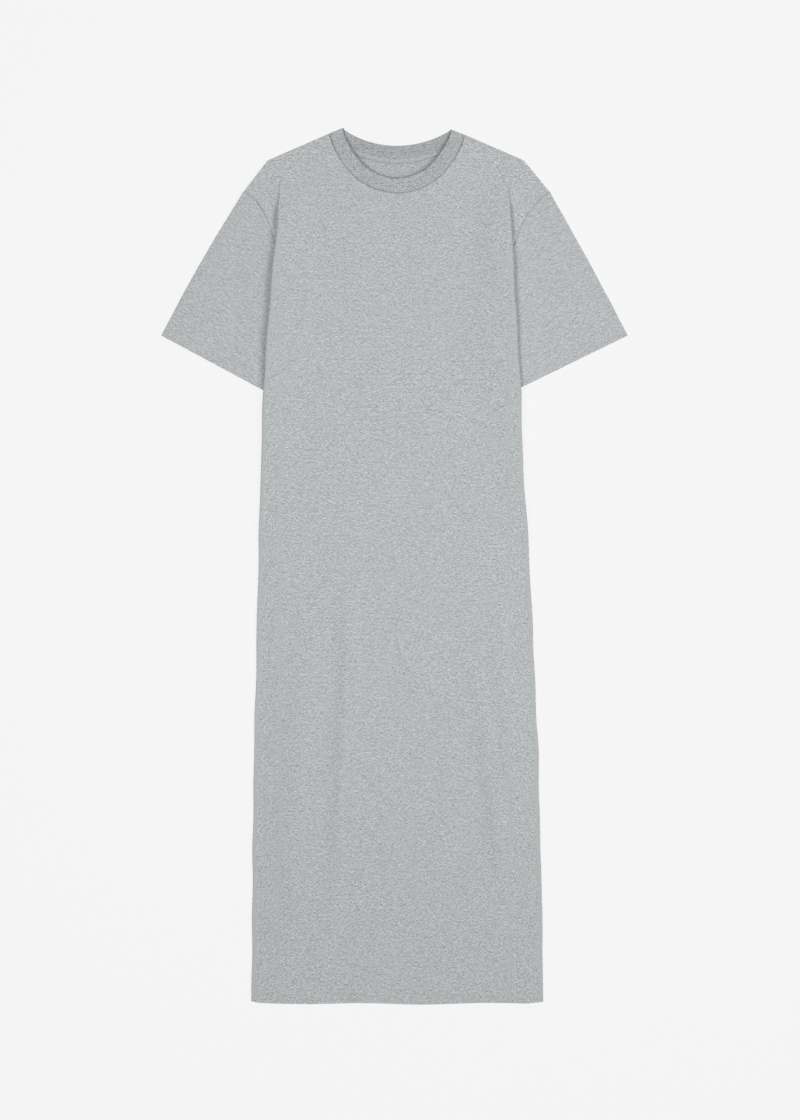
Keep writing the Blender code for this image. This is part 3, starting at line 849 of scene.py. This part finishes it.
class Wire:
    # a node socket that adds and multiplies as a number does
    def __init__(self, tree, socket=None):
        self.tree, self.socket = tree, socket

    def node(self, kind, settings=None, values=None, output=0):
        made = self.tree.nodes.new(kind)
        for name, setting in (settings or {}).items():
            setattr(made, name, setting)
        for key, value in (values or {}).items():
            if isinstance(value, Wire):
                self.tree.links.new(value.socket, made.inputs[key])
            else:
                made.inputs[key].default_value = value
        return Wire(self.tree, made.outputs[output])

    def math(self, operation, *values):
        return self.node("ShaderNodeMath", {"operation": operation}, dict(enumerate(values)))

    def __add__(self, other):
        return self.math("ADD", self, other)

    def __sub__(self, other):
        return self.math("SUBTRACT", self, other)

    def __rsub__(self, other):
        return self.math("SUBTRACT", other, self)

    def __mul__(self, other):
        return self.math("MULTIPLY", self, other)

    __radd__, __rmul__ = __add__, __mul__

    def into(self, shader, name):
        self.tree.links.new(self.socket, shader.inputs[name])


# neckband and tape

band = {
    "clothThickness": 0.85,
    "halfStep": 0.5,  # from the band's middle to the middle of each of its two layers
    "frontHeight": 7.0,
    "shoulderHeight": 4.0,
    "shoulderStart": 0.7,
    "edgeWidth": 1.6,  # painted shadow darkens the folded edge and the seam over this width
    "seamWidth": 1.4,
    "paintedEdgeShadowDepth": 0.46,  # how much darker the painted shadow makes the folded edge, and half as much the seam
    "paintedBackShadeDepth": 0.075,  # how much darker the back half is painted, as painted shade
    "backHeight": 0.95,
    "stationStep": 0.42,
    "acrossSteps": 12,
    "foldSteps": 8,
    "turnStations": 10,
    "seamDip": 0.75,
    "backSeamDip": 0.1,
    "seamRoll": 1.3,
    "ribPitch": 2.3,
    "ribHeight": 0.16,
}
tape = {
    "width": 6.4,
    "overlap": 1.8,  # how much of it lies up on the band
    "thickness": 0.6,
    "top": 2.35,
    "bottom": 1.1,
    "crown": 0.35,
    "reach": 0.9,
    "steps": 150,
    "across": 8,
}


def bandProfile(width, dip):
    # the doubled strip's section, as distance in from the seam and height
    half = band["halfStep"]
    flatWidth = width - half - band["clothThickness"] / 2
    straight = np.linspace(0, 1, band["acrossSteps"] + 1) ** 1.15 * flatWidth
    angles = np.linspace(0, math.pi, band["foldSteps"] + 1)[1:-1]
    along = np.concatenate([straight, straight[-1] + half * np.sin(angles), straight[::-1]])
    level = np.full(len(straight), half)
    up = np.concatenate([level, half * np.cos(angles), -level])
    return along, up - dip * np.exp(-((along / band["seamRoll"]) ** 1.5))


def bandSection(outer, inner, middle, normal, dip):
    across = inner - outer
    width = np.linalg.norm(across) - cloth["seamGap"]
    across = across / np.linalg.norm(across)
    along, up = bandProfile(width, dip)
    start = np.array((*(outer + cloth["seamGap"] * across), 0.0)) + middle
    flat = np.column_stack([along[:, None] * across, np.zeros(len(along))])
    return start + flat + up[:, None] * normal


def bandStations():
    # sections all round the neckline: front half, right shoulder, back half, left shoulder
    upwards = np.array((0.0, 0.0, 1.0))
    middle = (band["shoulderHeight"] + band["backHeight"]) / 2 * upwards
    radius = (band["shoulderHeight"] - band["backHeight"]) / 2
    sections = []

    def at(t, face):
        return (np.array(neckCurve(kind, face, np.array(t)), float) for kind in ("seam", "edge"))

    def half(face, height, endHeight, turnedOver):
        ts = np.linspace(-1, 1, 400)
        seamX, seamY = neckCurve("seam", face, ts)
        edgeX, edgeY = neckCurve("edge", face, ts)
        steps = np.hypot(np.diff((seamX + edgeX) / 2), np.diff((seamY + edgeY) / 2))
        along = np.concatenate([[0], np.cumsum(steps)])
        count = int(along[-1] / band["stationStep"])
        even = np.interp(np.linspace(0, along[-1], count + 1), along, ts)
        for t in even if face == front else even[::-1]:
            outer, inner = at(t, face)
            dip = band["seamDip"] if face == front else band["backSeamDip"]
            sunk = smooth((abs(t) - band["shoulderStart"]) / (1 - band["shoulderStart"]))
            level = height + (endHeight - height) * sunk
            sections.append(bandSection(outer, inner, level * upwards, turnedOver * upwards, dip))

    def shoulder(t):
        outer, inner = at(t, front)
        run = (inner - outer) / np.linalg.norm(inner - outer)
        outward = -t * np.array((-run[1], run[0], 0.0))
        angles = np.linspace(0, math.pi, band["turnStations"] + 1)[1:-1]
        for angle in angles if t > 0 else angles[::-1]:
            normal = math.cos(angle) * upwards + math.sin(angle) * outward
            dip = band["seamDip"] + (band["backSeamDip"] - band["seamDip"]) * angle / math.pi
            sections.append(bandSection(outer, inner, middle + radius * normal, normal, dip))

    half(front, band["frontHeight"], band["shoulderHeight"], 1)
    shoulder(1)
    half(back, band["backHeight"], band["backHeight"], -1)
    shoulder(-1)
    return np.array(sections)


def ribTree(material):
    # raises the band's ribs along its normals, from the distance stored round the band
    inputs = (("Pitch", "Float"), ("Height", "Float"))
    tree, (geometry, pitch, height) = newTree("ribKnit", inputs)
    start = Wire(tree)
    stored = {"data_type": "FLOAT"}
    turn = start.node("GeometryNodeInputNamedAttribute", stored, {"Name": "aroundBand"})
    wave = turn.math("SINE", turn.math("DIVIDE", turn * math.pi, pitch))
    ridge = wave.math("POWER", wave.math("ABSOLUTE", wave), 0.7) - 0.6
    normal = start.node("GeometryNodeInputNormal")
    offset = start.node("ShaderNodeVectorMath", {"operation": "SCALE"}, {0: normal, 3: ridge * height})
    moved = start.node("GeometryNodeSetPosition", {}, {"Geometry": geometry, "Offset": offset})
    return endTree(tree, moved, material)


def addTree(piece, tree, values):
    # a Geometry Nodes modifier with its named inputs set by their sockets' identifiers
    modifier = piece.modifiers.new(tree.name, "NODES")
    modifier.node_group = tree
    for socket in tree.interface.items_tree:
        if socket.in_out == "INPUT" and socket.name in values:
            modifier[socket.identifier] = values[socket.name]
    return modifier


def store(piece, name, values):
    stored = piece.data.attributes.new(name, "FLOAT", "POINT")
    stored.data.foreach_set("value", np.asarray(values, np.float32).ravel())


def makeNeckBand(material):
    points = bandStations()
    middles = points[:, band["acrossSteps"] // 2]
    steps = np.linalg.norm(np.diff(np.concatenate([middles, middles[:1]]), axis=0), axis=1)
    around = np.concatenate([[0], np.cumsum(steps)])
    pitch = around[-1] / round(around[-1] / band["ribPitch"])
    acrossMm = np.broadcast_to(np.arange(points.shape[1]) * 1.9, points.shape[:2])
    grain = np.stack([np.broadcast_to(around[:-1, None], points.shape[:2]), acrossMm], axis=-1)
    piece = addBandMesh("neckBandCloth", points, grain)
    store(piece, "aroundBand", np.repeat(around[:-1] * mm, points.shape[1]))
    # painted shade: the band's shorter back half, lying low between the shoulders, is painted darker
    sunk = band["shoulderHeight"] - points[:, band["acrossSteps"] // 2, 2]
    closed = smooth(sunk / (band["shoulderHeight"] - band["backHeight"]))
    store(piece, "paintedBackShade", np.repeat(closed, points.shape[1]))
    # painted shadow: the front half's folded inner edge, and half as much its seam, are painted darker
    reach = np.linalg.norm(points[:, :, :2] - points[:, :1, :2], axis=2)
    nearEdge = smooth(1 - (reach.max(axis=1, keepdims=True) - reach) / band["edgeWidth"])
    nearSeam = smooth(1 - reach / band["seamWidth"])
    paintedEdgeShadow = (nearEdge + nearSeam * 0.5) * (1 - closed[:, None])
    store(piece, "paintedEdgeShadow", paintedEdgeShadow)
    addTree(piece, ribTree(material), {"Pitch": pitch * mm, "Height": band["ribHeight"] * mm})
    wall = piece.modifiers.new("cloth thickness", "SOLIDIFY")
    wall.thickness = band["clothThickness"] * mm
    wall.offset = 0
    bpy.context.view_layer.update()
    return applyModifiers(piece)


def addBandMesh(name, points, grain):
    # sections follow each other round the neck, and the last joins the first
    closed = np.concatenate([points, points[:1]])
    lastStep = np.array((np.linalg.norm(points[-1, 0] - points[0, 0]), 0))
    lastGrain = grain[:1] + lastStep + (grain[-1:] - grain[:1]) * (1, 0)
    piece = addCloth(name, closed, np.concatenate([grain, lastGrain]))
    weld = piece.modifiers.new("close the band", "WELD")
    weld.merge_threshold = 1e-6
    bpy.context.view_layer.update()
    return applyModifiers(piece)


def tapeLine(part, ts):
    # a line along the tape, for part from 0 at its upper edge to 1 at its lower one
    x, height = neckCurve("seam", back, ts)
    aheadX, aheadHeight = neckCurve("seam", back, ts + 0.01)
    run = np.stack([aheadX - x, aheadHeight - height], axis=-1)
    run /= np.linalg.norm(run, axis=1)[:, None]
    distance = tape["width"] * part - tape["overlap"]
    z = tape["top"] + (tape["bottom"] - tape["top"]) * part + tape["crown"] * math.sin(math.pi * part)
    places = np.column_stack([x + run[:, 1] * distance, height - run[:, 0] * distance])
    return np.column_stack([places, np.full(len(ts), z)])


def makeTape():
    ts = np.linspace(-tape["reach"], tape["reach"], tape["steps"] + 1)
    parts = np.linspace(1, 0, tape["across"] + 1)
    points = np.array([tapeLine(part, ts) for part in parts])
    alongMm, acrossMm = np.meshgrid(ts * 100, tape["width"] * parts - tape["overlap"])
    grain = np.stack([alongMm, acrossMm], axis=-1)
    return giveThickness(addCloth("neckTapeCloth", points, grain), tape["thickness"])


# materials

# linear base colour, how strongly each length of yarn shows, roughness, and how long the yarns run
finishColumns = ("colour", "drift", "yarn", "fleck", "fibre", "roughness", "run")
finishes = {
    "jersey": ((0.470, 0.493, 0.501), 0.3, 1.15, 1.3, 0.3, 0.9, 1.0),
    "rib": ((0.420, 0.441, 0.448), 0.3, 1.4, 1.5, 0.3, 0.92, 1.0),
    # painted shade: the sleeves' colour is the jersey's painted about 1% darker
    "sleeve": ((0.466, 0.489, 0.497), 0.3, 0.9, 0.55, 0.3, 0.9, 1.7),
    "reverse": ((0.444, 0.466, 0.474), 0.3, 1.15, 1.3, 0.3, 0.92, 1.0),
    "tape": ((0.446, 0.469, 0.476), 0.2, 1.0, 0.6, 0.3, 0.92, 1.0),
    "thread": ((0.50, 0.52, 0.53), 0.0, 0.1, 0.1, 0.2, 0.75, 1.0),
}
knit = {
    "driftSize": (7.0, 1.7),  # millimetres along and across the courses
    "yarnSize": (2.4, 1.4),
    "fleckSize": (1.25, 1.2),
    "fibreSize": (0.9, 0.35),
    "wale": 1.15,
    "course": 0.85,
    "bump": 0.13,
    "depth": 0.15,
}


def splitGrain(start, grain):
    return (start.node("ShaderNodeSeparateXYZ", {}, {0: grain}, output=k) for k in range(2))


def speckle(start, grain, size, longer):
    # light and dark lengths of yarn around 0, each course with a run of its own and set off
    # against the next one
    along, across = splitGrain(start, grain)
    course = start.math("FLOOR", across * (1 / (size[1] * mm)))

    def run(course):
        shift = start.node("ShaderNodeTexWhiteNoise", {"noise_dimensions": "1D"}, {"W": course})
        x = along * (1 / (size[0] * longer * mm)) + shift * 50
        place = start.node("ShaderNodeCombineXYZ", {}, {0: x, 1: course * 0.37})
        values = {"Vector": place, "Scale": 1.0, "Detail": 1.0}
        return start.node("ShaderNodeTexNoise", {"noise_dimensions": "2D"}, values)

    return run(course) * 0.95 - run(course + 1) * 0.3 - 0.325


def knitHeight(start, grain):
    # rows of V-shaped stitches
    u, v = splitGrain(start, grain)
    wale, course = u * (1 / (knit["wale"] * mm)), v * (1 / (knit["course"] * mm))
    lean = wale.math("PINGPONG", wale, 0.5)
    loops = wale.math("SINE", (course + lean * 0.9) * (2 * math.pi))
    furrow = wale.math("SINE", wale * (2 * math.pi))
    return loops * 0.5 + furrow * furrow * 0.5


def makeFinish(name, ribbed=False, solid=False):
    finish = dict(zip(finishColumns, finishes[name]))
    material = bpy.data.materials.new(name + "Knit")
    material.use_nodes = True
    tree = material.node_tree
    shader = tree.nodes["Principled BSDF"]
    start = Wire(tree)
    if solid:
        grain = start.node("ShaderNodeTexCoord", output="Object")
    else:
        grain = start.node("ShaderNodeUVMap", {"uv_map": "clothGrain"})
    kinds = ("yarn", "fleck", "fibre", "drift")
    runs = {kind: speckle(start, grain, knit[kind + "Size"], finish["run"]) for kind in kinds}
    tone = 1 + sum(runs[kind] * finish[kind] for kind in kinds)
    height = knitHeight(start, grain)
    if ribbed:
        around, _ = splitGrain(start, grain)
        turn = around * (math.pi / (band["ribPitch"] * mm))
        ridge = turn.math("ABSOLUTE", turn.math("SINE", turn))
        # painted shade: the band's back half is painted darker
        closed = start.node("ShaderNodeAttribute", {"attribute_name": "paintedBackShade"}, output=2)
        # painted shadow: the folded edge and seam of the band's front half are painted darker
        paintedEdgeShadow = start.node("ShaderNodeAttribute", {"attribute_name": "paintedEdgeShadow"}, output=2)
        # painted shade: the ribs' grooves are painted darker than their ridges
        tone = tone * (0.86 + ridge * 0.2) * (1 - closed * band["paintedBackShadeDepth"])
        tone = tone * (1 - paintedEdgeShadow * band["paintedEdgeShadowDepth"])
    colour = start.node("ShaderNodeVectorMath", {"operation": "SCALE"}, {0: finish["colour"], 3: tone})
    colour.into(shader, "Base Color")
    (finish["roughness"] + runs["fleck"] * 0.1).into(shader, "Roughness")
    raised = height + runs["fibre"] * 1.5
    values = {"Strength": knit["bump"], "Distance": knit["depth"] * mm, "Height": raised}
    start.node("ShaderNodeBump", {}, values).into(shader, "Normal")
    shader.inputs["Sheen Weight"].default_value = 0.12
    shader.inputs["Sheen Roughness"].default_value = 0.5
    shader.inputs["Specular IOR Level"].default_value = 0.15
    return material


jerseyKnit = makeFinish("jersey")
ribKnit = makeFinish("rib", ribbed=True)
tapeKnit = makeFinish("tape")
threadFinish = makeFinish("thread", solid=True)
reverseKnit = makeFinish("reverse")
sleeveKnit = makeFinish("sleeve")
for piece, finish in (
    (frontCloth, jerseyKnit),
    (backCloth, jerseyKnit),
    (sleeveLeftCloth, sleeveKnit),
    (sleeveRightCloth, sleeveKnit),
):
    piece.data.materials.append(finish)
backCloth.data.materials.append(reverseKnit)  # the cloth's other side, seen inside the neck
for cell in backCloth.data.polygons:
    cell.material_index = int(cell.normal.z > 0.3)
neckBandCloth = makeNeckBand(ribKnit)
neckTapeCloth = makeTape()
neckTapeCloth.data.materials.append(tapeKnit)
print("neckband and tape made:", len(neckBandCloth.data.polygons), len(neckTapeCloth.data.polygons))

# stitches

stitch = {"spacing": 2.9, "length": 2.3, "width": 0.45, "height": 0.34, "rowGap": 5.0, "seed": 4}


def stitchTree():
    # a row of thread beads along each edge of the mesh
    floats = [(name, "Float") for name in ("Spacing", "Length", "Width", "Height")]
    inputs = (*floats, ("Seed", "Int"), ("Thread", "Material"))
    tree, (rows, spacing, length, width, height, seed, thread) = newTree("stitchRow", inputs)
    start = Wire(tree)
    curve = start.node("GeometryNodeMeshToCurve", {}, {"Mesh": rows})
    marks = start.node("GeometryNodeResampleCurve", {"mode": "LENGTH"}, {"Curve": curve, "Length": spacing})
    bead = start.node("GeometryNodeMeshUVSphere", {}, {"Segments": 8, "Rings": 6, "Radius": 0.5})
    size = start.node("ShaderNodeCombineXYZ", {}, {0: length, 1: width, 2: height})
    shaped = start.node("GeometryNodeTransform", {}, {"Geometry": bead, "Scale": size})
    sway = start.node(
        "FunctionNodeRandomValue",
        {"data_type": "FLOAT_VECTOR"},
        {"Min": (-0.07, -0.07, 0.0), "Max": (0.07, 0.07, 0.0), "Seed": seed},
    )
    tangent = start.node("GeometryNodeInputTangent")
    way = start.node("ShaderNodeVectorMath", {"operation": "ADD"}, {0: tangent, 1: sway})
    turn = start.node("FunctionNodeAlignRotationToVector", {"axis": "X"}, {"Vector": way})
    placed = {"Points": marks, "Instance": shaped, "Rotation": turn}
    beads = start.node("GeometryNodeInstanceOnPoints", {}, placed)
    return endTree(tree, beads, thread)


def makeStitches(name, paths):
    # paths are lists of points in millimetres, each a row of stitches
    points, edges = [], []
    for path in paths:
        first = len(points)
        path = np.array(path)
        path[:, 2] = np.maximum(path[:, 2], stitch["height"] / 2 + 0.02)
        points += (path * mm).tolist()
        edges += [(first + k, first + k + 1) for k in range(len(path) - 1)]
    mesh = bpy.data.meshes.new(name)
    mesh.from_pydata(points, edges, [])
    piece = bpy.data.objects.new(name, mesh)
    bpy.context.scene.collection.objects.link(piece)
    sizes = {label: stitch[label.lower()] * mm for label in ("Spacing", "Length", "Width", "Height")}
    addTree(piece, rowTree, {**sizes, "Seed": stitch["seed"], "Thread": threadFinish})
    bpy.context.view_layer.update()
    applyModifiers(piece)
    piece.data.shade_smooth()
    return piece


def hemPath(face, distance):
    stations = [(side, "core", part) for side, zone, part in panelStations(face) if zone == "core"]
    path = []
    for side, zone, part in stations:
        x, y, z, _ = panelColumn(side, zone, part, np.array([body["hem"] + distance]), face)
        path.append((x[0], y[0], z[0] + face * cloth["thickness"] / 2))
    return path


def cuffPath(side, distance):
    us = np.linspace(0, 1, sleeve["capSteps"] + 1)
    length = np.hypot(*(sleevePlan(side, us, 1.0) - sleevePlan(side, us, 0.0)).T)
    ring = sleeveRing(side, 1 - distance / length, distance, 0.0, cloth["thickness"] / 2)
    return np.concatenate([ring, ring[:1]])


def tapePath(part):
    path = tapeLine(part, np.linspace(-tape["reach"], tape["reach"], 80))
    return path + (0, 0, tape["thickness"] / 2)


rowTree = stitchTree()
hemPlaces = [body["hemDepth"] - 2.5, body["hemDepth"] - 2.5 - stitch["rowGap"]]
cuffPlaces = [sleeve["hemDepth"] - 2.5, sleeve["hemDepth"] - 2.5 - stitch["rowGap"]]
hemPaths = [hemPath(face, place) for face in (front, back) for place in hemPlaces]
hemStitches = makeStitches("hemStitches", hemPaths)
cuffStitchesLeft = makeStitches("cuffStitchesLeft", [cuffPath(left, place) for place in cuffPlaces])
cuffStitchesRight = makeStitches("cuffStitchesRight", [cuffPath(right, place) for place in cuffPlaces])
tapeStitches = makeStitches("tapeStitches", [tapePath(part) for part in (0.14, 0.86)])
stitchPieces = (hemStitches, cuffStitchesLeft, cuffStitchesRight, tapeStitches)
print("stitches made:", sum(len(piece.data.polygons) for piece in stitchPieces))

# what each piece stands for

for piece, node, slot in (
    (frontCloth, "front_panel", "jersey"),
    (backCloth, "back_panel", "jersey"),
    (sleeveLeftCloth, "sleeve_left", "jersey"),
    (sleeveRightCloth, "sleeve_right", "jersey"),
    (neckBandCloth, "neck_rib", "rib"),
    (neckTapeCloth, "neck_tape", "tape"),
):
    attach(piece, "root")
    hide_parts(node)
for piece in stitchPieces:
    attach(piece, "root")
